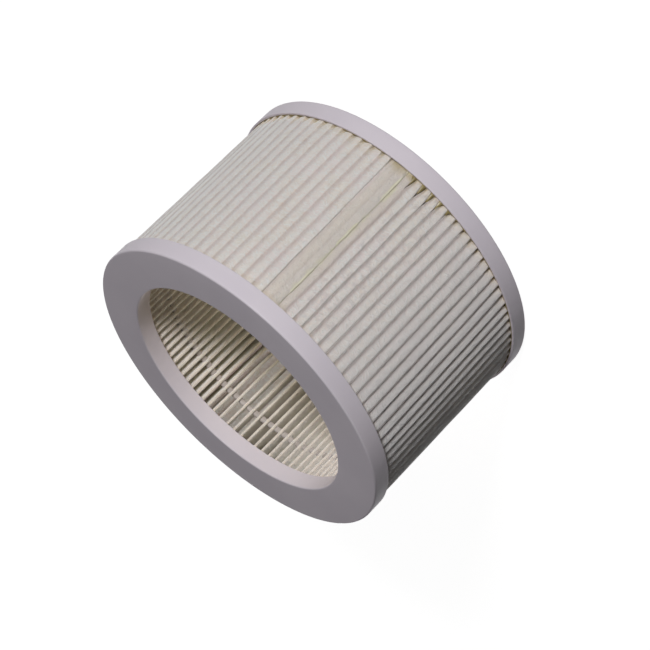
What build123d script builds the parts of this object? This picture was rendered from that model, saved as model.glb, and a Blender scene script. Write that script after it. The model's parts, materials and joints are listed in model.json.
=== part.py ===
from build123d import *
import math
import os

# Round pleated air purifier filter: two ring-shaped end caps, one folded sheet and its glue.
# Millimetres. The Z axis is the filter's axis. The filter stands on its rear cap, whose outer face
# is at z = 0, and its front cap's face is on top. Angles are measured about Z from the X axis.

# Overall size
outer_diameter = 180.0
filter_height = 119.0
bore_diameter = 132.0

# End caps
skirt_depth = 10.0
collar_depth = 9.5
skirt_wall = 1.2
collar_wall = 1.2
web_thickness = 1.8
rim_edge_radius = 1.0
bore_edge_radius = 0.8

# Pleated sheet
fold_count = 88
sheet_thickness = 0.5
sheet_clearance = 0.3
outer_gap = 1.6
crest_height = 2.6
inner_fold_width = 1.3
fold_lean = 4.0

# Seam, a wide flat fold in which one end of the sheet laps over the other
seam_angle = -78.65
seam_width = 16.0
seam_valley = 8.5
lap_width = 4.2
lap_shift = -0.8
shoulder_width = 1.6

# Glue
potting_depth = 6.0
potting_floor = 1.0
lap_film = 0.2
seam_bead_width = 0.7
bead_height = 3.0
bead_proud = 0.4
bead_reach = 1.8
bead_offset = 26.0

# Sizes that follow from those above
cap_radius = outer_diameter / 2
bore_radius = bore_diameter / 2
channel_outer = cap_radius - skirt_wall
channel_inner = bore_radius + collar_wall
media_outer = channel_outer - sheet_clearance
media_inner = channel_inner + sheet_clearance
media_bottom = web_thickness + potting_floor
media_top = filter_height - media_bottom
potting_top = web_thickness + potting_depth
crest_line = media_outer - sheet_thickness / 2
inner_line = media_inner + sheet_thickness / 2
seam_arc = math.degrees(seam_width / crest_line)
valley_arc = math.degrees(seam_valley / inner_line)
outer_pitch = (360.0 - seam_arc) / fold_count
inner_pitch = (360.0 - valley_arc) / fold_count
crest_half = (math.radians(outer_pitch) * crest_line - outer_gap - sheet_thickness) / 2
inner_half = (inner_fold_width - sheet_thickness) / 2
seam_half = (seam_width - outer_gap - sheet_thickness) / 2
lap_edge = lap_shift - lap_width / 2
lap_end = lap_shift + lap_width / 2
lower_lap = sheet_thickness + lap_film

# The rounded top of a fold, as shares of its half width and of its height. It leans to one side,
# so that side is the steeper one.
CREST_SHAPE = [(-1.0, 1.0), (-0.97, 0.55), (-0.8, 0.18), (-0.42, 0.0)]
CREST_SHAPE += [(0.05, 0.03), (0.5, 0.2), (0.84, 0.55), (1.0, 1.0)]


def polar(radius, angle):
    """The point at that radius and at that angle in degrees."""
    turn = math.radians(angle)
    return Vector(radius * math.cos(turn), radius * math.sin(turn))


def on_crest(centre_angle, across, depth):
    """A point beside a fold's centre, across it and below its top, in millimetres."""
    return polar(crest_line - depth, centre_angle + math.degrees(across / crest_line))


def inner_fold(number):
    """The two points of a narrow fold next to the bore, counted round from the seam."""
    centre = seam_angle + fold_lean + valley_arc / 2 + number * inner_pitch
    half = math.degrees(inner_half / inner_line)
    return [polar(inner_line, centre - half), polar(inner_line, centre + half)]


def outer_fold(number):
    """The points of a rounded outer fold, counted round from the seam."""
    centre = seam_angle + seam_arc / 2 + (number + 0.5) * outer_pitch
    return [on_crest(centre, x * crest_half, y * crest_height) for x, y in CREST_SHAPE]


def sheet_line():
    """The sheet's middle line, from its end on top of the lap round to its end under it."""
    upper_end = [(lap_edge, 0), (lap_end, 0), (seam_half - shoulder_width, 0)]
    lower_end = [(shoulder_width - seam_half, lower_lap), (lap_end, lower_lap)]
    points = [on_crest(seam_angle, x, y) for x, y in upper_end]
    points.append(on_crest(seam_angle, seam_half, crest_height))
    for number in range(fold_count):
        points += inner_fold(number)
        points += outer_fold(number)
    points += inner_fold(fold_count)
    points.append(on_crest(seam_angle, -seam_half, crest_height))
    points += [on_crest(seam_angle, x, y) for x, y in lower_end]
    return points


def side_of(points, distance):
    """A line of points moved sideways by that distance, with mitred corners."""
    moved = []
    last = len(points) - 1
    for place, point in enumerate(points):
        before = (point - points[max(place - 1, 0)]).normalized() if place > 0 else None
        after = (points[min(place + 1, last)] - point).normalized() if place < last else None
        before = before or after
        after = after or before
        left = Vector(-before.Y, before.X)
        next_left = Vector(-after.Y, after.X)
        mitre = (left + next_left).normalized()
        moved.append(point + mitre * (distance / mitre.dot(left)))
    return moved


def sheet_section():
    """The sheet's outline in plan, as a flat face."""
    middle = sheet_line()
    near = side_of(middle, sheet_thickness / 2)
    far = side_of(middle, -sheet_thickness / 2)
    outline = Polyline(*near, *reversed(far), close=True)
    return make_face(outline)


def ring_section(outer_radius, inner_radius):
    """A flat ring in plan."""
    return make_face(Circle(outer_radius).edge()) - make_face(Circle(inner_radius).edge())


def raised(section, low, high):
    """A flat section made solid between two heights."""
    return extrude(Pos(0, 0, low) * section, amount=high - low, dir=(0, 0, 1))


def mirrored_to_front(shape):
    """The same shape at the other end of the filter."""
    return mirror(shape, about=Plane.XY.offset(filter_height / 2))


def end_cap():
    """The rear cap: a flat web with a skirt outside and a collar round the bore."""
    web = raised(ring_section(cap_radius, bore_radius), 0, web_thickness)
    skirt = raised(ring_section(cap_radius, channel_outer), 0, skirt_depth)
    collar = raised(ring_section(channel_inner, bore_radius), 0, collar_depth)
    cap = web + skirt + collar
    face_edges = cap.edges().filter_by(GeomType.CIRCLE).group_by(Axis.Z)[0].sort_by(SortBy.RADIUS)
    cap = fillet(face_edges[-1], rim_edge_radius)
    face_edges = cap.edges().filter_by(GeomType.CIRCLE).group_by(Axis.Z)[0].sort_by(SortBy.RADIUS)
    return fillet(face_edges[0], bore_edge_radius)


def potting_glue(section):
    """The glue in the rear cap's channel, with the sheet standing in it."""
    channel = ring_section(channel_outer, channel_inner)
    floor = raised(channel, web_thickness, media_bottom)
    round_sheet = raised(channel - section, media_bottom, potting_top)
    return floor + round_sheet


def seam_glue(section):
    """Glue between the lapped ends of the sheet, with a small bead along the upper one's edge."""
    film_end = lap_end - sheet_thickness / 2
    block = Polyline(
        on_crest(seam_angle, lap_edge - seam_bead_width, lower_lap),
        on_crest(seam_angle, lap_edge - seam_bead_width / 2, 0),
        on_crest(seam_angle, lap_edge + sheet_thickness, 0),
        on_crest(seam_angle, film_end, 0),
        on_crest(seam_angle, film_end, lower_lap),
        close=True,
    )
    film = make_face(block) - section
    film = film.faces().sort_by(SortBy.AREA)[-1]
    return raised(film, potting_top, filter_height - potting_top)


def glue_bead(section, height):
    """A bead run round the bore, which fills the mouths of the folds at that height."""
    ring = ring_section(media_inner + bead_reach, media_inner - bead_proud) - section
    band = ring.faces().sort_by(SortBy.AREA)[-1]
    return raised(band, height - bead_height / 2, height + bead_height / 2)


def build():
    """Every piece of the filter, by name."""
    section = sheet_section()
    rear_cap = end_cap()
    rear_potting = potting_glue(section)
    return {
        "front_end_cap": mirrored_to_front(rear_cap),
        "rear_end_cap": rear_cap,
        "pleated_media": raised(section, media_bottom, media_top),
        "front_potting_glue": mirrored_to_front(rear_potting),
        "rear_potting_glue": rear_potting,
        "seam_glue": seam_glue(section),
        "glue_bead_front": glue_bead(section, filter_height - bead_offset),
        "glue_bead_middle": glue_bead(section, filter_height / 2),
        "glue_bead_rear": glue_bead(section, bead_offset),
    }


os.makedirs("parts", exist_ok=True)
for name, shape in build().items():
    export_step(shape, "parts/" + name + ".step")
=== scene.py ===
import json
import math

import bpy
import numpy as np
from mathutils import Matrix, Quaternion, Vector

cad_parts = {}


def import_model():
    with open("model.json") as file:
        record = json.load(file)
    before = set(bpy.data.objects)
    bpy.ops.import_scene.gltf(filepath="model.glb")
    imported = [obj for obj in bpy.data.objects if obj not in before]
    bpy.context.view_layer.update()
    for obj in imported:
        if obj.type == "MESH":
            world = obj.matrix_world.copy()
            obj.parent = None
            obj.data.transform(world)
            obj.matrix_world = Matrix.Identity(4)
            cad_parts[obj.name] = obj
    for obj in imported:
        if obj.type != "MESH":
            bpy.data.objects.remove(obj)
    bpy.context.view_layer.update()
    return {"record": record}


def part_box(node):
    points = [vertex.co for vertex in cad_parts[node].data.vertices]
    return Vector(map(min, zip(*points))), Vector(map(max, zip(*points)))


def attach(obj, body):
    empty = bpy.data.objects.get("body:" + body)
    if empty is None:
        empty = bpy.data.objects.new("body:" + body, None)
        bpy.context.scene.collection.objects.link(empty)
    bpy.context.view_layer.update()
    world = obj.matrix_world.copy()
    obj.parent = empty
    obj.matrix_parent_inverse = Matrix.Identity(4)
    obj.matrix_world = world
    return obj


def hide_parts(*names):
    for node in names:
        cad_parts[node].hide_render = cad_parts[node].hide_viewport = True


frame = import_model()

# Units and directions. Angles are in degrees about Z from the X axis, and the camera stands over
# -Y. The front cap is the upper one. A place round the filter is in degrees from the seam's middle.
MM = 0.001
CAMERA_SIDE = -90.0

# Sizes read from the frame
front_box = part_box("front_end_cap")
rear_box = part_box("rear_end_cap")
media_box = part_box("pleated_media")
CAP_RADIUS = front_box[1].x
HEIGHT = front_box[1].z
SKIRT_TOP = rear_box[1].z
mounts = {mount["name"]: mount for mount in frame["record"]["mounts"]}
BORE_RADIUS = mounts["rear_bore"]["dims"]["r_mm"] * MM
MEDIA_BOTTOM = media_box[0].z
MEDIA_TOP = media_box[1].z
FRONT_SKIRT = HEIGHT - SKIRT_TOP

# End caps
SKIRT_WALL = 1.2 * MM
COLLAR_WALL = 1.2 * MM
COLLAR_DEPTH = 9.5 * MM
WEB = 1.8 * MM
RIM_EDGE = 1.0 * MM
BORE_EDGE = 0.8 * MM
LIP_EDGE = 0.25 * MM
CAP_STEPS = 360
ARC_STEPS = 5
CHANNEL_OUTER = CAP_RADIUS - SKIRT_WALL
CHANNEL_INNER = BORE_RADIUS + COLLAR_WALL

# Pleated sheet. The crest line and the inner line are the middle of its thickness.
FOLDS = 88
THICKNESS = 0.5 * MM
CLEARANCE = 0.3 * MM
CREST_LINE = CHANNEL_OUTER - CLEARANCE - THICKNESS / 2
INNER_LINE = CHANNEL_INNER + CLEARANCE + THICKNESS / 2
JOINT_DEPTH = 2.8
TOUCHING = THICKNESS / 2 + 0.01 * MM
INNER_HALF = 0.55 * MM
INNER_ROUND = 0.5 * MM
LEAN = 0.8

# Seam, a wide fold where one end of the sheet laps over the other
SEAM_ANGLE = -78.65
SEAM_WIDTH = 16.0 * MM
SEAM_VALLEY = 8.5 * MM
LAP_EDGE = -3.4 * MM
SEAM_HALF = SEAM_WIDTH / 2
SEAM_ARC = math.degrees(SEAM_WIDTH / CREST_LINE)
VALLEY_ARC = math.degrees(SEAM_VALLEY / INNER_LINE)
OUTER_PITCH = (360.0 - SEAM_ARC) / FOLDS
INNER_PITCH = (360.0 - VALLEY_ARC) / FOLDS

# The top of a fold from joint to joint: the share of its half width, the depth in mm, the share of
# its tilt, and its painted shade, which darkens the colour where shade falls in the groove. Behind a
# crisp edge it slopes down into a groove before the next fold.
CREST_SHAPE = [
    (-0.905, JOINT_DEPTH, 0.1, 0.6),
    (-0.90, 0.22, 0.1, 0.6),
    (-0.87, 0.12, 0.05, 0.35),
    (-0.82, 0.03, 0.0, 0.0),
    (-0.74, 0.0, 0.0, 0.0),
    (-0.62, 0.02, 0.05, 0.0),
    (-0.2, 0.12, 0.42, 0.0),
    (0.10, 0.21, 0.72, 0.1),
    (0.30, 0.34, 0.95, 0.4),
    (0.50, 0.5, 1.0, 0.75),
    (0.68, 0.56, 0.8, 1.0),
    (0.80, 0.48, 0.5, 1.0),
    (0.90, 0.30, 0.2, 0.85),
    (0.905, JOINT_DEPTH, 0.2, 0.7),
]
JOINT_SHARE = CREST_SHAPE[-1][0]

# How strongly that shape shows at places round the filter, and the tilt in mm there
GROOVE_AT = [0, 8, 30, 120, 240, 300, 335, 350, 360]
GROOVE_SHARE = [0.7, 0.75, 0.75, 0.75, 0.3, 0.3, 0.4, 0.6, 0.65]
TILT_DEPTH = [0.15, 0.0, 0.0, 0.1, 0.75, 0.75, 0.55, 0.4, 0.2]

# The tip of an inner fold: shares of its half width and of its roundness
INNER_SHAPE = [(-1.0, 1.0), (-0.7, 0.25), (0.0, 0.0), (0.7, 0.25), (1.0, 1.0)]

# The wide fold's two layers: place across it in mm, depth in mm and painted shade, which darkens
# the colour where shade falls in its crease, by its cut edge and at its joints
UPPER_LAYER = [
    (LAP_EDGE / MM, 0.25, 0.15),
    (-1.9, 0.12, 0.0),
    (-0.6, 0.1, 0.0),
    (0.6, 0.2, 0.12),
    (1.6, 0.5, 0.45),
    (2.4, 0.2, 0.15),
    (3.6, 0.06, 0.0),
    (5.2, 0.1, 0.05),
    (6.2, 0.25, 0.35),
    (7.0, 0.45, 0.75),
    (7.68, 0.62, 0.9),
    (7.7, JOINT_DEPTH, 0.8),
]
LOWER_LAYER = [
    (-7.7, JOINT_DEPTH, 0.7),
    (-7.68, 0.66, 0.7),
    (-7.3, 0.62, 0.3),
    (-6.4, 0.58, 0.0),
    (-5.4, 0.6, 0.05),
    (-4.6, 0.64, 0.3),
    (-3.9, 0.7, 0.5),
    (LAP_EDGE / MM, 0.8, 0.6),
    (1.2, 1.1, 0.8),
]

# How far the folds stand from an even spacing, and how far their rear ends are turned against
# their front ends, both in degrees at places round the filter
SPACING_AT = [0, 7, 25, 45, 60, 113, 169, 213, 285, 300, 337, 349, 353, 360]
SPACING_SHIFT = [0, 0, 0.3, 1.2, 2.6, 5.6, -0.3, 0.5, 3.8, 2.6, 2.5, 1.5, 0.9, 0]
TWIST_AT = [0, 5, 12, 30, 45, 180, 290, 310, 330, 345, 352, 360]
TWIST_TURN = [0.8, 1.8, 0.9, 1.6, 1.6, 1.5, 2.4, 1.8, 0.4, 0.1, 0.6, 0.8]
FOLD_JITTER = 0.10

# Folds pushed together beside the seam, from that many degrees before it, and the gap that opens
# between their rear ends
BUNCHED_FROM = 26
PRESSED_GAP = 1.3 * MM

# Potting glue: its level, its rise against the skirt, how far it is drawn up between the pushed
# folds, and how many degrees to each side of a gap that reaches
POTTING_TOP = 7.8 * MM
POTTING_RISE = 2.05 * MM
POTTING_STEPS = 720
WICKED_RISE = 6.0 * MM
WICKED_HALF = 0.9

# Glue beads in the bore
BEAD_HEIGHT = 3.4 * MM
BEAD_OFFSET = 26.0 * MM
BEAD_INNER = CHANNEL_INNER + 2.0 * MM
BEAD_DEPTH = 0.55 * MM
BEAD_REACH = 2.0 * MM
BEAD_STEPS = 8
BEAD_SIDES = 12

# Seam glue: a strip along the cut edge. Its section is in shares of its width, and of its height
# above zero or of its depth below.
STRIP_ROWS = 110
STRIP_DEPTH = 0.35 * MM
STRIP_SECTION = [
    (-0.5, -2.2),
    (-0.35, -0.8),
    (0.0, 0.5),
    (0.35, 1.0),
    (0.75, 0.6),
    (1.0, 0.0),
    (1.0, -1.1),
]

# Random numbers. Each kind of irregularity counts its folds or pieces from a start of its own.
SEED = 41
OUTER_SWAY = 0
INNER_SWAY = 100
FOLD_END = 200
OUTER_SUNK = 400
OUTER_JITTER = 500
INNER_SUNK = 600
GROOVE_CHANGE = 800
WALL_BUCKLE = 2000
POTTING_WAVES = 7000
FRONT_BEAD = 8001
MIDDLE_BEAD = 8002
REAR_BEAD = 8003
UPPER_RIPPLE = 9100
LOWER_RIPPLE = 9150
STRIP_STRENGTH = 9300
STRIP_EDGE = 9400

# Colours
CAP_DARK = (0.684, 0.629, 0.689)
CAP_LIGHT = (0.716, 0.659, 0.716)
CAP_GRAIN = (0.60, 0.575, 0.61)
SHEET_THIN = (0.84, 0.705, 0.61)
SHEET_THICK = (1.0, 0.875, 0.785)
SHEET_PINK = (0.96, 0.81, 0.80)
SHEET_CREAM = (0.90, 0.84, 0.75)
# Painted light for the side away from the key lamp
SHEET_PAINTED_LIGHT = (1.0, 0.855, 0.83)
FIBRE_WHITE = (1.0, 0.93, 0.885)
WALL_CREAM = (0.95, 0.88, 0.74)
TIP_TAN = (0.55, 0.49, 0.37)
SEAM_BEIGE = (0.75, 0.665, 0.59)
# Painted shade for the grooves between the folds
PAINTED_SHADE_TAUPE = (0.45, 0.34, 0.335)
MOTTLE_GREY = (0.62, 0.54, 0.53)
STAIN_BROWN = (0.50, 0.40, 0.21)
SOAKED_YELLOW = (0.80, 0.75, 0.50)
AMBER_DARK = (0.23, 0.18, 0.075)
AMBER_LIGHT = (0.35, 0.285, 0.13)
MILKY_DARK = (0.36, 0.32, 0.30)
MILKY_LIGHT = (0.45, 0.41, 0.40)
YELLOW_DARK = (0.67, 0.62, 0.46)
YELLOW_LIGHT = (0.77, 0.72, 0.59)
BORE_GLOW = (0.98, 0.92, 0.68)

# The sheet's fibres, in three layers: slant, waves to the metre, and how flat they lie
FIBRE_LAYERS = [(0.60, 420.0, 2.6), (-0.50, 380.0, 2.8), (0.10, 460.0, 2.4)]

# Lamps, with their angles from the camera's side, in degrees, and their power in watts
LAMP_DISTANCE = 2.5
KEY_AZIMUTH = 24.0
KEY_ELEVATION = 19.0
KEY_SIZE = (0.60, 0.45)
KEY_POWER = 47.0
BACK_AZIMUTH = 195.0
BACK_ELEVATION = 5.0
BACK_SIZE = (1.6, 0.4)
BACK_POWER = 50.0
BORE_POWER = 0.055
BORE_LAMP_RADIUS = 30 * MM
BORE_LAMP_LEVEL = 35 * MM
WORLD_LIGHT = 0.02

# Camera, as it stood for the photograph
CAMERA_PLACE = Vector((0, -1.0800, 0.5461))
CAMERA_TARGET = Vector((-0.00844, -0.00007, 0.05916))
CAMERA_ROLL = 135.126
CAMERA_LENS = 129.25

# Floor
FLOOR_HALF = 6.0
FLOOR_LEVEL = -0.2 * MM


def rng_for(number):
    """A random source of its own for each fold or piece, the same in each run."""
    return np.random.default_rng(SEED * 1000 + number)


def smooth(x):
    """From 0 to 1 with no sharp start or end, for x from 0 to 1."""
    x = np.clip(x, 0, 1)
    return x * x * (3 - 2 * x)


def wander(number, z, size, wavelengths=(0.12, 0.045)):
    """A slow irregular curve along the filter, of about that size, different for each number."""
    rng = rng_for(number)
    total = np.zeros_like(z)
    for wavelength in wavelengths:
        turn = rng.uniform(0, 2 * math.pi)
        share = rng.uniform(0.3, 0.8)
        total += share * np.sin(2 * math.pi * z / (wavelength * rng.uniform(0.8, 1.25)) + turn)
    return total * size


def mesh_object(name, points, faces, smooth_shaded=True):
    """A mesh object from points and faces."""
    mesh = bpy.data.meshes.new(name)
    mesh.from_pydata([tuple(p) for p in points], [], [tuple(f) for f in faces])
    mesh.validate()
    mesh.update()
    mesh.polygons.foreach_set("use_smooth", [smooth_shaded] * len(mesh.polygons))
    piece = bpy.data.objects.new(name, mesh)
    bpy.context.scene.collection.objects.link(piece)
    return piece


def sharpen(piece, angle):
    """Edges that turn by more than that angle in degrees are shown sharp."""
    piece.data.set_sharp_from_angle(angle=math.radians(angle))


def on_body(piece, slot, material, *nodes):
    """The piece rides on the filter and stands for those CAD nodes."""
    piece.data.materials.clear()
    piece.data.materials.append(material)
    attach(piece, "root")
    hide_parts(*nodes)


def grid_faces(rows, columns, close_rows=False, close_columns=False):
    """Quads over a grid of points, row by row, joined end to end where it is closed."""
    faces = []
    for i in range(rows if close_rows else rows - 1):
        for j in range(columns if close_columns else columns - 1):
            a = i * columns + j
            b = i * columns + (j + 1) % columns
            c = ((i + 1) % rows) * columns + (j + 1) % columns
            d = ((i + 1) % rows) * columns + j
            faces.append((a, b, c, d))
    return faces


# Materials


class Nodes:
    """A material's node tree, with short calls to add and join nodes."""

    def __init__(self, name):
        self.material = bpy.data.materials.new(name)
        self.material.use_nodes = True
        self.tree = self.material.node_tree
        self.tree.nodes.clear()

    def add(self, kind, inputs=None, **settings):
        """A node of that kind, with its inputs joined to sockets or set to values."""
        node = self.tree.nodes.new(kind)
        for key, value in settings.items():
            setattr(node, key, value)
        for key, value in (inputs or {}).items():
            self.feed(node.inputs[key], value)
        return node

    def feed(self, socket, value):
        """Joins the socket to another one, or sets its value."""
        if isinstance(value, bpy.types.NodeSocket):
            self.tree.links.new(value, socket)
        else:
            socket.default_value = value

    def math(self, operation, a, b=0.0, c=0.0):
        """The result of a sum, product or the like."""
        return self.add("ShaderNodeMath", {0: a, 1: b, 2: c}, operation=operation).outputs[0]

    def times(self, a, b):
        """The product of two values."""
        return self.math("MULTIPLY", a, b)

    def largest(self, a, b):
        """The larger of two values."""
        return self.math("MAXIMUM", a, b)

    def place(self):
        """The point on the object, in metres."""
        return self.add("ShaderNodeTexCoord").outputs["Object"]

    def noise(self, vector, scale, detail=3.0, roughness=0.55):
        """Cloudy noise with that many waves to the metre."""
        inputs = {"Vector": vector, "Scale": scale, "Detail": detail, "Roughness": roughness}
        return self.add("ShaderNodeTexNoise", inputs).outputs["Fac"]

    def remap(self, value, low, high, to_low=0.0, to_high=1.0):
        """The value moved from one range to another, and held inside it."""
        inputs = {"Value": value, "From Min": low, "From Max": high, "To Min": to_low, "To Max": to_high}
        return self.add("ShaderNodeMapRange", inputs).outputs["Result"]

    def mix(self, factor, a, b):
        """A colour between two others."""
        node = self.add("ShaderNodeMix", data_type="RGBA")
        self.feed(node.inputs[0], factor)
        for socket, colour in ((node.inputs[6], a), (node.inputs[7], b)):
            self.feed(socket, (*colour, 1.0) if isinstance(colour, tuple) else colour)
        return node.outputs[2]

    def surface(self, colour, rough, height, strength, distance):
        """A principled shader with that colour, roughness and bumps."""
        bump = self.add("ShaderNodeBump", {"Strength": strength, "Distance": distance, "Height": height})
        inputs = {"Base Color": colour, "Roughness": rough, "Normal": bump.outputs["Normal"]}
        return self.add("ShaderNodeBsdfPrincipled", inputs)

    def finish(self, shader):
        """The material, with that shader as its surface."""
        self.add("ShaderNodeOutputMaterial", {"Surface": shader.outputs[0]})
        return self.material


def cap_material():
    """Pale lavender moulded plastic: smooth, matte, with a very fine grain and faint flow marks."""
    n = Nodes("cap_plastic")
    place = n.place()
    cloud = n.noise(place, 28.0, 3.0)
    grain = n.noise(place, 2400.0, 2.0)
    base = n.mix(n.remap(cloud, 0.35, 0.65), CAP_DARK, CAP_LIGHT)
    colour = n.mix(n.remap(grain, 0.3, 0.7, 0.0, 0.06), base, CAP_GRAIN)
    rough = n.remap(cloud, 0.3, 0.7, 0.46, 0.54)
    shader = n.surface(colour, rough, grain, 0.05, 0.2 * MM)
    shader.inputs["Specular IOR Level"].default_value = 0.3
    return n.finish(shader)


def fibre_web(n, round_way, x, y, z):
    """Where pale fibres show: three layers of noise, flattened and slanted across the folds."""
    layers = []
    for slant, scale, flat in FIBRE_LAYERS:
        level = n.times(n.math("MULTIPLY_ADD", round_way, slant, z), flat)
        along = n.add("ShaderNodeCombineXYZ", {"X": x, "Y": y, "Z": level}).outputs[0]
        layers.append(n.remap(n.noise(along, scale, 2.0, 0.45), 0.57, 0.70))
    return n.largest(n.largest(layers[0], layers[1]), layers[2])


def sheet_base(n, place, cloud, web):
    """The clean sheet's colour: thick and thin, pink and cream by turns, with pale fibres."""
    base = n.mix(n.remap(cloud, 0.35, 0.65), SHEET_THIN, SHEET_THICK)
    base = n.mix(n.remap(n.noise(place, 60.0, 3.0), 0.35, 0.65, 0.0, 0.7), base, SHEET_PINK)
    base = n.mix(n.remap(n.noise(place, 130.0, 2.0), 0.45, 0.65, 0.0, 0.4), base, SHEET_CREAM)
    return n.mix(n.times(web, 0.85), base, FIBRE_WHITE)


def sheet_tints(n, base, round_way, radius):
    """Painted light on the side away from the key lamp, and the cream walls and tan tips of the folds
    seen in the bore.
    """
    # Painted light: on the side away from the key lamp, fading out towards the back, the colour is made
    # paler and pinker.
    near_edge = n.remap(round_way, 5 * MM, -60 * MM)
    far_edge = n.remap(round_way, -270 * MM, -170 * MM)
    painted_light_side = n.times(n.times(near_edge, far_edge), 0.9)
    base = n.mix(painted_light_side, base, SHEET_PAINTED_LIGHT)
    below_crest = n.remap(radius, CREST_LINE - 6 * MM, CREST_LINE - 3 * MM, 1.0, 0.0)
    behind_tip = n.remap(radius, INNER_LINE + 1 * MM, INNER_LINE + 4 * MM)
    base = n.mix(n.times(below_crest, behind_tip), base, WALL_CREAM)
    tip = n.remap(radius, INNER_LINE + 0.6 * MM, INNER_LINE + 2.2 * MM, 0.4, 0.0)
    return n.mix(tip, base, TIP_TAN)


def groove_shade_and_mottle(n, base, place, round_way, painted_shade):
    """Painted shade: taupe in the grooves between the folds, where shade falls, and grey mottling on the
    pushed ones.
    """
    # Painted shade: the colour turns taupe in the grooves, as far as each point's shade value says.
    base = n.mix(n.times(painted_shade, 0.5), base, PAINTED_SHADE_TAUPE)
    before_seam = n.remap(round_way, 9.5 * MM, 7 * MM)
    pushed_side = n.times(n.remap(round_way, -22 * MM, -10 * MM), before_seam)
    mottle = n.times(n.remap(n.noise(place, 230.0, 3.0), 0.5, 0.64, 0.0, 0.5), pushed_side)
    return n.mix(mottle, base, MOTTLE_GREY)


def sheet_stains(n, base, place, z, wet):
    """Brown glue stains that creep up from the rear cap, and faint ones below the front cap."""
    reach = n.remap(n.noise(place, 160.0, 2.0), 0.3, 0.7, 3.0 * MM, 8.0 * MM)
    above_rear = n.math("DIVIDE", n.math("SUBTRACT", z, SKIRT_TOP), reach)
    below_front = n.times(n.math("SUBTRACT", FRONT_SKIRT, z), 1 / (3.5 * MM))
    rear_stain = n.remap(above_rear, 0.0, 1.0, 0.85, 0.0)
    front_stain = n.remap(below_front, 0.0, 1.0, 0.4, 0.0)
    return n.mix(n.times(n.math("ADD", rear_stain, front_stain), wet), base, STAIN_BROWN)


def soaked_edge(n, base, place, seam_way):
    """Yellow patches where glue has soaked into the outer layer along its cut edge."""
    from_edge = n.math("ABSOLUTE", n.math("SUBTRACT", seam_way, LAP_EDGE + 1.0 * MM))
    near = n.remap(from_edge, 0.3 * MM, 1.9 * MM, 1.0, 0.0)
    patches = n.remap(n.noise(place, 85.0, 3.0), 0.50, 0.64)
    return n.mix(n.times(n.times(near, patches), 0.75), base, SOAKED_YELLOW)


def sheet_material():
    """Cream non-woven sheet: fine fibres, cloudy thickness, painted shade in its grooves, glue stains.
    """
    n = Nodes("filter_sheet")
    place = n.place()
    x, y, z = n.add("ShaderNodeSeparateXYZ", {"Vector": place}).outputs
    radius = n.math("SQRT", n.math("ADD", n.times(x, x), n.times(y, y)))
    round_way = n.times(n.math("ARCTAN2", x, n.times(y, -1.0)), CREST_LINE)
    seam_way = n.math("SUBTRACT", round_way, math.radians(SEAM_ANGLE - CAMERA_SIDE) * CREST_LINE)
    on_seam = n.remap(n.math("ABSOLUTE", seam_way), SEAM_HALF - 1.0 * MM, SEAM_HALF, 1.0, 0.0)
    # Painted shade for each point: how much darker the colour is made where shade falls
    painted_shade = n.add("ShaderNodeAttribute", attribute_name="painted_shade").outputs["Fac"]
    web = fibre_web(n, round_way, x, y, z)
    cloud = n.noise(place, 420.0, 4.0)
    base = sheet_base(n, place, cloud, web)
    base = sheet_tints(n, base, round_way, radius)
    base = n.mix(n.times(on_seam, 0.8), base, SEAM_BEIGE)
    base = groove_shade_and_mottle(n, base, place, round_way, painted_shade)
    # Glue stains show more on the seam and where the shade is painted.
    wet = n.largest(n.math("MULTIPLY_ADD", painted_shade, 0.7, 0.3), on_seam)
    base = sheet_stains(n, base, place, z, wet)
    base = soaked_edge(n, base, place, seam_way)
    height = n.math("ADD", n.times(web, 0.6), cloud)
    rough = n.remap(cloud, 0.3, 0.7, 0.86, 0.96)
    shader = n.surface(base, rough, height, 0.65, 0.5 * MM)
    shader.inputs["Specular IOR Level"].default_value = 0.2
    shader.inputs["Sheen Weight"].default_value = 1.0
    shader.inputs["Sheen Roughness"].default_value = 0.6
    shader.inputs["Subsurface Weight"].default_value = 0.9
    shader.inputs["Subsurface Radius"].default_value = (1.0, 1.0, 1.0)
    shader.inputs["Subsurface Scale"].default_value = 1.7 * MM
    return n.finish(shader)


def glue_material(name, dark, light, roughness):
    """Set glue, a little cloudy and glossy, with small pits."""
    n = Nodes(name)
    place = n.place()
    cloud = n.noise(place, 190.0, 4.0)
    pits = n.noise(place, 900.0, 2.0)
    colour = n.mix(n.remap(cloud, 0.35, 0.65), dark, light)
    rough = n.remap(pits, 0.3, 0.7, roughness - 0.06, roughness + 0.06)
    height = n.math("ADD", cloud, n.times(pits, 0.3))
    return n.finish(n.surface(colour, rough, height, 0.3, 0.3 * MM))


def floor_material():
    """A white ground for the camera and for reflections, which still takes the shadow."""
    n = Nodes("floor_white")
    path = n.add("ShaderNodeLightPath").outputs
    seen = n.largest(path["Is Camera Ray"], path["Is Glossy Ray"])
    seen = n.largest(seen, path["Is Transmission Ray"])
    plain = n.add("ShaderNodeBsdfDiffuse", {"Color": (0.25, 0.25, 0.25, 1)}).outputs[0]
    soft = n.add("ShaderNodeBsdfDiffuse", {"Color": (0.30, 0.30, 0.30, 1)}).outputs[0]
    glow = n.add("ShaderNodeEmission", {"Color": (1, 1, 1, 1), "Strength": 0.93}).outputs[0]
    white = n.add("ShaderNodeAddShader", {0: soft, 1: glow}).outputs[0]
    return n.finish(n.add("ShaderNodeMixShader", {0: seen, 1: plain, 2: white}))


# End caps


def arc(centre_radius, centre_z, size, start, end):
    """Points of a quarter round, as radius and height."""
    turns = np.radians(np.linspace(start, end, ARC_STEPS + 1))
    return [(centre_radius + size * math.cos(t), centre_z + size * math.sin(t)) for t in turns]


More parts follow.
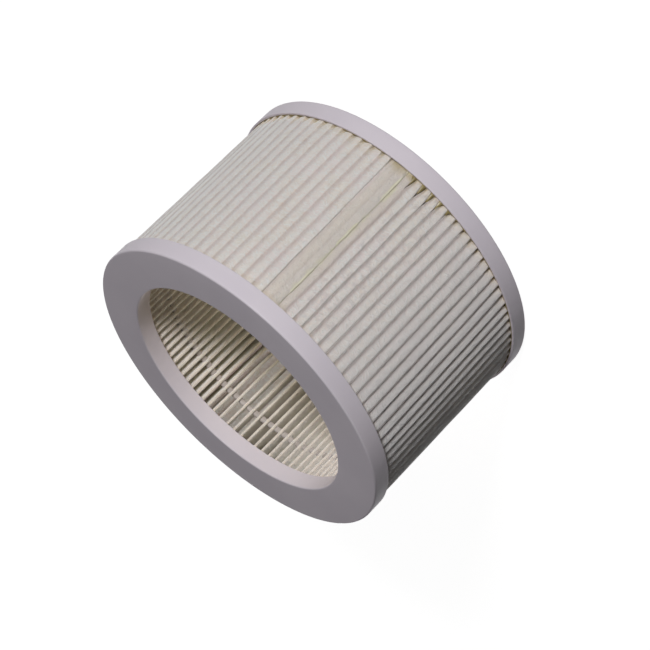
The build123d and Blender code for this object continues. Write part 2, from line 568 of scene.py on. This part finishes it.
def cap_profile():
    """The rear cap's section, all the way round it, as radius and height."""
    lip = LIP_EDGE
    points = arc(CAP_RADIUS - RIM_EDGE, RIM_EDGE, RIM_EDGE, -90, 0)
    points += [(CAP_RADIUS, SKIRT_TOP * share) for share in (0.3, 0.6, 0.85)]
    points += arc(CAP_RADIUS - lip, SKIRT_TOP - lip, lip, 0, 90)
    points += arc(CHANNEL_OUTER + lip, SKIRT_TOP - lip, lip, 90, 180)
    points += [(CHANNEL_OUTER, WEB), (CHANNEL_INNER, WEB)]
    points += arc(CHANNEL_INNER - lip, COLLAR_DEPTH - lip, lip, 0, 90)
    points += arc(BORE_RADIUS + lip, COLLAR_DEPTH - lip, lip, 90, 180)
    points += [(BORE_RADIUS, COLLAR_DEPTH * share) for share in (0.6, 0.3)]
    points += arc(BORE_RADIUS + BORE_EDGE, BORE_EDGE, BORE_EDGE, 180, 270)
    points += [((CAP_RADIUS + BORE_RADIUS) / 2, 0)]
    return points


def turned(name, profile):
    """A closed profile turned about the filter's axis."""
    radius, level = np.array(profile).T
    turns = np.radians(np.arange(CAP_STEPS) * 360.0 / CAP_STEPS)
    rows = [np.column_stack([radius * math.cos(t), radius * math.sin(t), level]) for t in turns]
    faces = grid_faces(CAP_STEPS, len(profile), close_rows=True, close_columns=True)
    return mesh_object(name, np.concatenate(rows), faces)


def end_caps(material):
    """Both caps: the same moulding, with the front one turned over."""
    profile = cap_profile()
    flipped = [(radius, HEIGHT - z) for radius, z in profile]
    for name, section, node in (
        ("rear_cap_ring", profile[::-1], "rear_end_cap"),
        ("front_cap_ring", flipped, "front_end_cap"),
    ):
        piece = turned(name, section)
        sharpen(piece, 40)
        on_body(piece, "cap_plastic", material, node)


# Pleated sheet


def heights():
    """Rows of points along the filter, closest together above the rear cap."""
    near_rear = [SKIRT_TOP + d * MM for d in (-2.5, -0.6, 0.5, 1.5, 2.6, 4.0, 6.0, 9.0, 13.0)]
    middle = list(np.linspace(near_rear[-1], FRONT_SKIRT - 4 * MM, 15)[1:])
    near_front = [FRONT_SKIRT - 1.2 * MM, FRONT_SKIRT + 1.0 * MM]
    return np.array([MEDIA_BOTTOM] + near_rear + middle + near_front + [MEDIA_TOP])


def spacing(place):
    """The shift of the folds from an even spacing."""
    return np.interp(np.mod(place, 360), SPACING_AT, SPACING_SHIFT)


def twist(place, z):
    """How far the sheet is turned at that height, against its middle."""
    turn = np.interp(np.mod(place, 360), TWIST_AT, TWIST_TURN)
    return turn * (0.5 - (z - MEDIA_BOTTOM) / (MEDIA_TOP - MEDIA_BOTTOM))


def bunched(place):
    """From 0 to 1: how much the folds are pushed together beside the seam."""
    back = 360 - np.mod(place, 360)
    return smooth((BUNCHED_FROM - back) / 14) * smooth((back - 1) / 3)


def rear_end(z, reach=6 * MM):
    """From 0 to 1 on the way down into the rear cap."""
    return smooth(1 - (z - SKIRT_TOP) / reach) ** 1.4


def outer_place(number):
    """The place of an outer fold, before it is shifted."""
    return SEAM_ARC / 2 + (number + 0.5) * OUTER_PITCH


def outer_centre(number, z):
    """An outer fold's middle at each height, in degrees from the seam."""
    place = outer_place(number)
    sway = wander(OUTER_SWAY + number, z, math.degrees(0.10 * MM / CREST_LINE))
    sway *= 1 + 1.5 * bunched(place)
    jitter = rng_for(OUTER_JITTER + number).normal(0, FOLD_JITTER)
    return place + spacing(place) + jitter + twist(place, z) + sway


def inner_centre(number, z):
    """An inner fold's middle at each height, in degrees from the seam."""
    place = VALLEY_ARC / 2 + number * INNER_PITCH
    sway = wander(INNER_SWAY + number, z, math.degrees(0.12 * MM / INNER_LINE))
    return LEAN + place + spacing(place) + 0.5 * twist(place, z) + sway


def gap_lines(z):
    """The lines between neighbouring folds, from the seam's one side round to its other."""
    centres = [outer_centre(number, z) for number in range(FOLDS)]
    gaps = [(centres[i] + centres[i + 1]) / 2 for i in range(FOLDS - 1)]
    first = 2 * centres[0] - gaps[0]
    last = 2 * centres[-1] - gaps[-1]
    return [first] + gaps + [last]


def outer_points(number, z, left, right):
    """The top of an outer fold between its gaps: angle, radius and painted shade for each height."""
    rng = rng_for(FOLD_END + number)
    place = outer_place(number)
    pressed = bunched(place)
    centre = outer_centre(number, z)
    per_degree = math.radians(1) * CREST_LINE
    end = rear_end(z, rng.uniform(4, 6) * MM + 5 * MM * pressed)
    squeeze = pressed * PRESSED_GAP * end
    left_half = (centre - left) * per_degree - 0.4 * squeeze - TOUCHING
    right_half = (right - centre) * per_degree - squeeze - TOUCHING
    dip = rng.uniform(1.0, 1.7) * MM * (1 - 0.85 * pressed)
    groove = np.interp(place, GROOVE_AT, GROOVE_SHARE) * (1 + wander(GROOVE_CHANGE + number, z, 0.12))
    tilt = np.interp(place, GROOVE_AT, TILT_DEPTH)
    sunk = np.abs(wander(OUTER_SUNK + number, z, 0.1 * MM)) + pressed * 0.1 * MM
    columns = []
    for x, y, slope, painted_shade in CREST_SHAPE:
        rim = abs(x) ** 4
        across = x / JOINT_SHARE * (left_half if x < 0 else right_half)
        across = across * (1 - (0.05 + 0.10 * pressed) * end * rim)
        shaped = y if y == JOINT_DEPTH else y * groove
        rounded = end * (dip * smooth((x + 0.5) / 1.5) + 0.5 * MM * rim * pressed)
        depth = (shaped + slope * tilt) * MM + sunk + rounded
        columns.append((centre + np.degrees(across / CREST_LINE), CREST_LINE - depth, painted_shade))
    return columns


def inner_points(number, z):
    """The narrow fold next to the bore: angle, radius and painted shade, here none, for each height."""
    centre = inner_centre(number, z)
    sunk = np.abs(wander(INNER_SUNK + number, z, 0.1 * MM))
    columns = []
    for x, y in INNER_SHAPE:
        angle = centre + np.degrees(x * INNER_HALF / INNER_LINE)
        columns.append((angle, INNER_LINE + y * INNER_ROUND + sunk, 0.0))
    return columns


def wall_point(number, z, start, end):
    """The middle of the wall between two folds, slightly buckled, as if it had stood pressed."""
    buckle = wander(WALL_BUCKLE + 2 * number, z, math.degrees(0.1 * MM / INNER_LINE))
    angle = start[0] + (end[0] - start[0]) * 0.5 + buckle
    radius = start[1] + (end[1] - start[1]) * 0.5
    return [(angle, radius, 0.0)]


def seam_place(across, gaps):
    """A point of the seam, in degrees, so that the seam fills the room between the folds."""
    left = gaps[-1] - 360
    right = gaps[0]
    return left + (right - left) * (across / SEAM_WIDTH + 0.5)


def seam_points(z, shape, ripple_number, gaps):
    """One layer of the wide fold: angle, radius and painted shade for each height."""
    columns = []
    for number, (across, depth, painted_shade) in enumerate(shape):
        ripple = wander(ripple_number + number, z, 0.1 * MM) * (abs(across) < 7)
        dip = rear_end(z) * 1.0 * MM * smooth((across + 2) / 6)
        columns.append((seam_place(across * MM + ripple, gaps), CREST_LINE - depth * MM - dip, painted_shade))
    return columns


def sheet_columns(z):
    """The sheet's middle line at each height, from its outer cut edge round to its inner one."""
    inner = [inner_points(number, z) for number in range(FOLDS + 1)]
    gaps = gap_lines(z)
    columns = seam_points(z, UPPER_LAYER, UPPER_RIPPLE, gaps)
    for number in range(FOLDS):
        outer = outer_points(number, z, gaps[number], gaps[number + 1])
        columns += wall_point(2 * number, z, columns[-1], inner[number][0])
        columns += inner[number]
        columns += wall_point(2 * number + 1, z, inner[number][-1], outer[0])
        columns += outer
    under = seam_points(z, LOWER_LAYER, LOWER_RIPPLE, gaps)
    lower = [(angle + 360, radius, painted_shade) for angle, radius, painted_shade in under]
    columns += wall_point(2 * FOLDS, z, columns[-1], inner[FOLDS][0])
    columns += inner[FOLDS]
    columns += wall_point(2 * FOLDS + 1, z, inner[FOLDS][-1], lower[0])
    columns += lower
    angle, radius, painted_shade = zip(*columns)
    return np.array(angle) + SEAM_ANGLE, np.array(radius), np.array(painted_shade)


def offset(line, distance):
    """Lines of points in plan, one for each height, moved sideways with limited mitres."""
    step = np.diff(line, axis=1)
    step /= np.linalg.norm(step, axis=2, keepdims=True)
    before = np.concatenate([step[:, :1], step], axis=1)
    after = np.concatenate([step, step[:, -1:]], axis=1)
    left = np.stack([-before[..., 1], before[..., 0]], axis=2)
    mitre = left + np.stack([-after[..., 1], after[..., 0]], axis=2)
    mitre /= np.linalg.norm(mitre, axis=2, keepdims=True)
    stretch = 1 / np.clip((mitre * left).sum(axis=2, keepdims=True), 0.6, 1)
    return line + mitre * distance * stretch


def end_faces(rows, columns):
    """Quads that close the sheet's skin between its two sides, at the bottom and at the top."""
    faces = []
    for row, flip in ((0, True), (rows - 1, False)):
        start = row * columns
        for j in range(columns // 2 - 1):
            quad = (start + j, start + j + 1, start + columns - 2 - j, start + columns - 1 - j)
            faces.append(tuple(reversed(quad)) if flip else quad)
    return faces


def pleated_sheet(material):
    """The folded sheet, as a closed skin round its middle line, with its painted shade as an attribute.
    """
    z = heights()
    angle, radius, painted_shade = sheet_columns(z)
    turn = np.radians(angle)
    line = np.stack([radius * np.cos(turn), radius * np.sin(turn)], axis=2).transpose(1, 0, 2)
    near = offset(line, THICKNESS / 2)
    far = offset(line, -THICKNESS / 2)
    outline = np.concatenate([far, near[:, ::-1]], axis=1)
    rows, columns = outline.shape[:2]
    levels = np.repeat(z[:, None, None], columns, axis=1)
    points = np.concatenate([outline, levels], axis=2).reshape(-1, 3)
    faces = grid_faces(rows, columns, close_columns=True) + end_faces(rows, columns)
    piece = mesh_object("pleated_sheet", points, faces)
    # Painted shade for each point, which the sheet's material turns into darker colour
    shade = piece.data.attributes.new("painted_shade", "FLOAT", "POINT")
    shade.data.foreach_set("value", np.tile(np.concatenate([painted_shade, painted_shade[::-1]]), rows))
    sharpen(piece, 60)
    on_body(piece, "filter_sheet", material, "pleated_media")


# Glue


def potting_points(across, wicking):
    """The rear cap's glue, section by section round it, drawn up between the pushed folds."""
    from_skirt = CHANNEL_OUTER - across
    gaps = np.concatenate(gap_lines(np.array([SKIRT_TOP])))
    rng = rng_for(POTTING_WAVES)
    waves = [(rng.integers(3, 90), rng.uniform(0, 6.28), rng.uniform(0.1, 0.35)) for _ in range(14)]
    rise = smooth(1 - from_skirt / (5 * MM)) * POTTING_RISE
    wicked = smooth((from_skirt - 0.4 * MM) / (0.9 * MM)) * smooth(1.3 - from_skirt / (9 * MM))
    rows = []
    for t in np.radians(np.arange(POTTING_STEPS) * 360.0 / POTTING_STEPS):
        drift = 2.1 * math.sin(3 * t)
        lift = sum(size * math.sin(count * t + start + drift) for count, start, size in waves)
        ripple = np.sin(40 * across / (CHANNEL_OUTER - CHANNEL_INNER) + 9 * t) * 0.5
        place = math.degrees(t) - SEAM_ANGLE
        beside_gap = np.abs((place - gaps + 180) % 360 - 180).min()
        wet = smooth(1.15 - beside_gap / WICKED_HALF) * bunched(place) * wicking
        top = POTTING_TOP + rise + wicked * wet + 0.25 * (lift + ripple) * MM
        section = list(zip(across, top)) + [(CHANNEL_OUTER, WEB), (CHANNEL_INNER, WEB)]
        rows.append([(r * math.cos(t), r * math.sin(t), z) for r, z in section])
    return np.array(rows)


def potting_rings(material):
    """The glue in both caps' channels, standing a little higher where it wets skirt and sheet."""
    near_skirt = [CHANNEL_OUTER - d * MM for d in (4.6, 3.4, 2.2, 1.4, 0.6, 0.0)]
    across = np.array(list(np.linspace(CHANNEL_INNER, CHANNEL_OUTER - 6 * MM, 8)) + near_skirt)
    for name, node, wicking in (
        ("rear_potting_ring", "rear_potting_glue", WICKED_RISE),
        ("front_potting_ring", "front_potting_glue", 0.0),
    ):
        rows = potting_points(across, wicking)
        faces = grid_faces(rows.shape[0], rows.shape[1], close_rows=True, close_columns=True)
        points = rows.reshape(-1, 3)
        if node == "front_potting_glue":
            points = points * (1, 1, -1) + (0, 0, HEIGHT)
            faces = [tuple(reversed(f)) for f in faces]
        piece = mesh_object(name, points, faces)
        sharpen(piece, 50)
        on_body(piece, "potting_glue", material, node)


def bead_line(height, number):
    """A bead's course round the bore: angle, inner and outer radius, half height and level."""
    rng = rng_for(number)
    level = np.array([height])
    tips = [inner_centre(n, level)[0] for n in range(FOLDS + 1)]
    tips.append(tips[0] + 360)
    line = []
    for n in range(FOLDS + 1):
        blob = rng.uniform(0.85, 1.2)
        sag = rng.normal(0, 0.25) * MM
        for k in range(BEAD_STEPS):
            share = k / BEAD_STEPS
            fill = math.sin(math.pi * share) ** 0.7
            angle = math.radians(tips[n] + (tips[n + 1] - tips[n]) * share + SEAM_ANGLE)
            tall = BEAD_HEIGHT / 2 * (0.72 + 0.28 * fill * blob)
            inside = BEAD_INNER + (0.22 * (1 - fill) - 0.05) * MM
            outside = BEAD_INNER + BEAD_DEPTH + BEAD_REACH * fill
            line.append((angle, inside, outside, tall, height + sag * fill))
    return line


def bead_ring(name, node, height, number, material):
    """A bead of glue run round the bore: a blob in each valley, thin at the folds' tips."""
    line = bead_line(height, number)
    turns = np.radians(np.arange(BEAD_SIDES) * 360.0 / BEAD_SIDES)
    points = []
    for angle, inside, outside, tall, z in line:
        centre = (inside + outside) / 2
        reach = (outside - inside) / 2
        for t in turns:
            radius = centre - reach * math.copysign(abs(math.cos(t)) ** 0.7, math.cos(t))
            level = z + tall * math.copysign(abs(math.sin(t)) ** 0.8, math.sin(t))
            points.append((radius * math.cos(angle), radius * math.sin(angle), level))
    faces = grid_faces(len(line), BEAD_SIDES, close_rows=True, close_columns=True)
    on_body(mesh_object(name, points, faces), "bead_glue", material, node)


def seam_strip(material):
    """The glue pressed out along the outer layer's cut edge, thick and thin by turns."""
    z = np.linspace(SKIRT_TOP - 1 * MM, FRONT_SKIRT + 1 * MM, STRIP_ROWS)
    gaps = gap_lines(z)
    strength = smooth(0.55 + 0.5 * wander(STRIP_STRENGTH, z, 1.0, (0.031, 0.013)))
    width = (0.35 + 0.9 * strength) * MM
    lift = (-0.25 + 0.42 * strength) * MM
    edge = LAP_EDGE - 0.1 * MM + wander(STRIP_EDGE, z, 0.12 * MM, (0.02, 0.009))
    skin = CREST_LINE + THICKNESS / 2
    points = []
    for i, level in enumerate(z):
        for x, y in STRIP_SECTION:
            radius = min(skin, skin - 0.2 * MM + (lift[i] * y if y > 0 else y * STRIP_DEPTH))
            angle = math.radians(seam_place(edge[i] + width[i] * x, gaps)[i] + SEAM_ANGLE)
            points.append((radius * math.cos(angle), radius * math.sin(angle), level))
    count = len(STRIP_SECTION)
    faces = grid_faces(STRIP_ROWS, count, close_columns=True)
    faces.append(tuple(reversed(range(count))))
    faces.append(tuple(range((STRIP_ROWS - 1) * count, STRIP_ROWS * count)))
    on_body(mesh_object("seam_glue_strip", points, faces), "potting_glue", material, "seam_glue")


# Stage, lights and camera


def stage():
    """A plain white floor, far wider than the view."""
    corners = [(-1, -1), (1, -1), (1, 1), (-1, 1)]
    points = [(x * FLOOR_HALF, y * FLOOR_HALF, FLOOR_LEVEL) for x, y in corners]
    floor = mesh_object("floor", points, [(0, 1, 2, 3)], smooth_shaded=False)
    floor.data.materials.append(floor_material())


def area_light(name, azimuth, elevation, size, power):
    """A soft lamp that faces the filter's upper end, with angles counted from the camera's side."""
    data = bpy.data.lights.new(name, "AREA")
    data.shape = "RECTANGLE"
    data.size, data.size_y = size
    data.energy = power
    lamp = bpy.data.objects.new(name, data)
    turn = math.radians(CAMERA_SIDE + azimuth)
    rise = math.radians(elevation)
    way = Vector((math.cos(turn) * math.cos(rise), math.sin(turn) * math.cos(rise), math.sin(rise)))
    lamp.location = Vector((0, 0, HEIGHT)) + way * LAMP_DISTANCE
    lamp.rotation_mode = "QUATERNION"
    lamp.rotation_quaternion = (-way).to_track_quat("-Z", "Y")
    bpy.context.scene.collection.objects.link(lamp)
    return lamp


def bore_light():
    """A dim warm lamp in the bore, for the light that comes through the lit sheet."""
    data = bpy.data.lights.new("bore_fill", "POINT")
    data.energy = BORE_POWER
    data.shadow_soft_size = BORE_LAMP_RADIUS
    data.color = BORE_GLOW
    lamp = bpy.data.objects.new("bore_fill", data)
    lamp.location = (0, 0, BORE_LAMP_LEVEL)
    lamp.visible_camera = False
    lamp.visible_glossy = False
    bpy.context.scene.collection.objects.link(lamp)


def world():
    """Even dim light from all round, which the camera sees as white."""
    made = bpy.data.worlds.new("studio")
    made.use_nodes = True
    tree = made.node_tree
    tree.nodes.clear()
    path = tree.nodes.new("ShaderNodeLightPath")
    seen = tree.nodes.new("ShaderNodeMath")
    seen.operation = "MAXIMUM"
    tree.links.new(path.outputs["Is Camera Ray"], seen.inputs[0])
    tree.links.new(path.outputs["Is Transmission Ray"], seen.inputs[1])
    mix = tree.nodes.new("ShaderNodeMixShader")
    tree.links.new(seen.outputs[0], mix.inputs[0])
    for place, strength in ((1, WORLD_LIGHT), (2, 1.0)):
        light = tree.nodes.new("ShaderNodeBackground")
        light.inputs["Color"].default_value = (1, 1, 1, 1)
        light.inputs["Strength"].default_value = strength
        tree.links.new(light.outputs[0], mix.inputs[place])
    out = tree.nodes.new("ShaderNodeOutputWorld")
    tree.links.new(mix.outputs[0], out.inputs["Surface"])
    bpy.context.scene.world = made


def camera():
    """The photograph's camera."""
    data = bpy.data.cameras.new("camera")
    data.lens = CAMERA_LENS
    data.sensor_width = 36.0
    data.sensor_fit = "HORIZONTAL"
    data.clip_start = 0.05
    data.clip_end = 30.0
    seen_from = bpy.data.objects.new("camera", data)
    seen_from.location = CAMERA_PLACE
    seen_from.rotation_mode = "QUATERNION"
    level = (CAMERA_TARGET - CAMERA_PLACE).to_track_quat("-Z", "Y")
    seen_from.rotation_quaternion = level @ Quaternion((0, 0, 1), -math.radians(CAMERA_ROLL))
    bpy.context.scene.collection.objects.link(seen_from)
    bpy.context.scene.camera = seen_from


camera()
world()
stage()
area_light("key", KEY_AZIMUTH, KEY_ELEVATION, KEY_SIZE, KEY_POWER)
back_fill = area_light("back_fill", BACK_AZIMUTH, BACK_ELEVATION, BACK_SIZE, BACK_POWER)
back_fill.visible_glossy = False
bore_light()

plastic = cap_material()
sheet = sheet_material()
amber = glue_material("potting_glue", AMBER_DARK, AMBER_LIGHT, roughness=0.35)
milky = glue_material("bead_glue", MILKY_DARK, MILKY_LIGHT, roughness=0.5)
yellow = glue_material("seam_glue", YELLOW_DARK, YELLOW_LIGHT, roughness=0.55)

end_caps(plastic)
pleated_sheet(sheet)
potting_rings(amber)
seam_strip(yellow)
bead_ring("front_bead_ring", "glue_bead_front", HEIGHT - BEAD_OFFSET, FRONT_BEAD, milky)
bead_ring("middle_bead_ring", "glue_bead_middle", HEIGHT / 2, MIDDLE_BEAD, milky)
bead_ring("rear_bead_ring", "glue_bead_rear", BEAD_OFFSET, REAR_BEAD, milky)

bpy.context.scene.view_settings.view_transform = "Standard"
bpy.context.view_layer.update()
